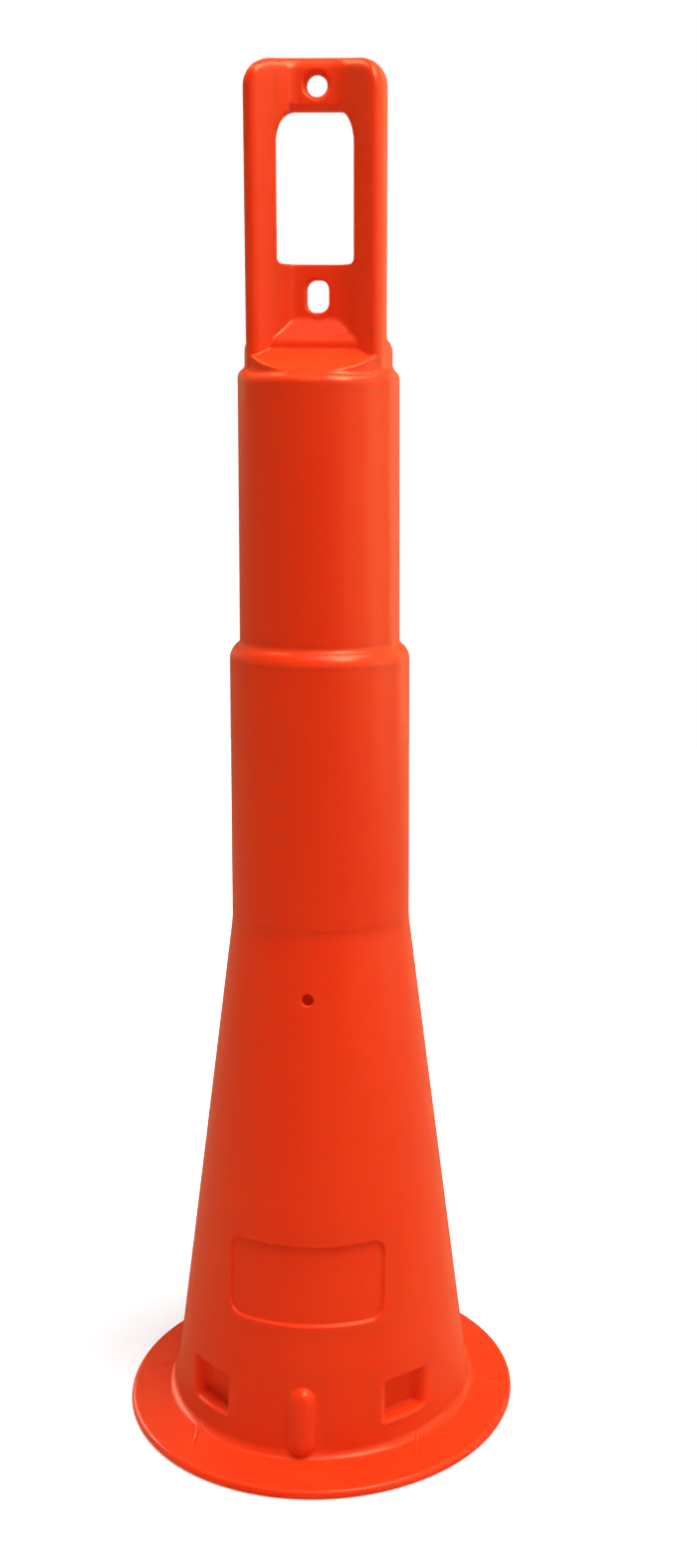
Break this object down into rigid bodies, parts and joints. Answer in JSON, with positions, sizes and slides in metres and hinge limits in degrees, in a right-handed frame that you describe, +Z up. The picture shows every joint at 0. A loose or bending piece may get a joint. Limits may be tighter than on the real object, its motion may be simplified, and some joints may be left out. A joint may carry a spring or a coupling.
{
  "type": "traffic channelizer",
  "caption": "Tall hollow orange channelizer body: round base flange, cone, stepped band sleeves and a flat grab handle with a grip window, a light bolt hole and a slot.",
  "frame": {"origin": "centre of the base flange's underside, on the floor", "axes": "+Z up along the body's axis, -Y to the front, +X along the handle's width"},
  "size_m": [0.3251, 0.3252, 1.0736],
  "materials": {
    "moulded_polyethylene": "satin blow-moulded polyethylene, coloured right through"
  },
  "bodies": {
    "root": {"rim_bead": "moulded_polyethylene", "base_flange": "moulded_polyethylene", "cone_skirt": "moulded_polyethylene", "blank_panel": "moulded_polyethylene", "lock_pocket_front_left": "moulded_polyethylene", "lock_pocket_front_right": "moulded_polyethylene", "lock_pocket_rear_left": "moulded_polyethylene", "lock_pocket_rear_right": "moulded_polyethylene", "key_rib_front": "moulded_polyethylene", "key_rib_rear": "moulded_polyethylene", "lower_sleeve": "moulded_polyethylene", "step_shoulder": "moulded_polyethylene", "upper_sleeve": "moulded_polyethylene", "top_shoulder": "moulded_polyethylene", "handle_base": "moulded_polyethylene", "front_gusset": "moulded_polyethylene", "handle_left_rail": "moulded_polyethylene", "handle_right_rail": "moulded_polyethylene", "handle_top_bar": "moulded_polyethylene", "handle_lower_web": "moulded_polyethylene"}
  },
  "joints": []
}
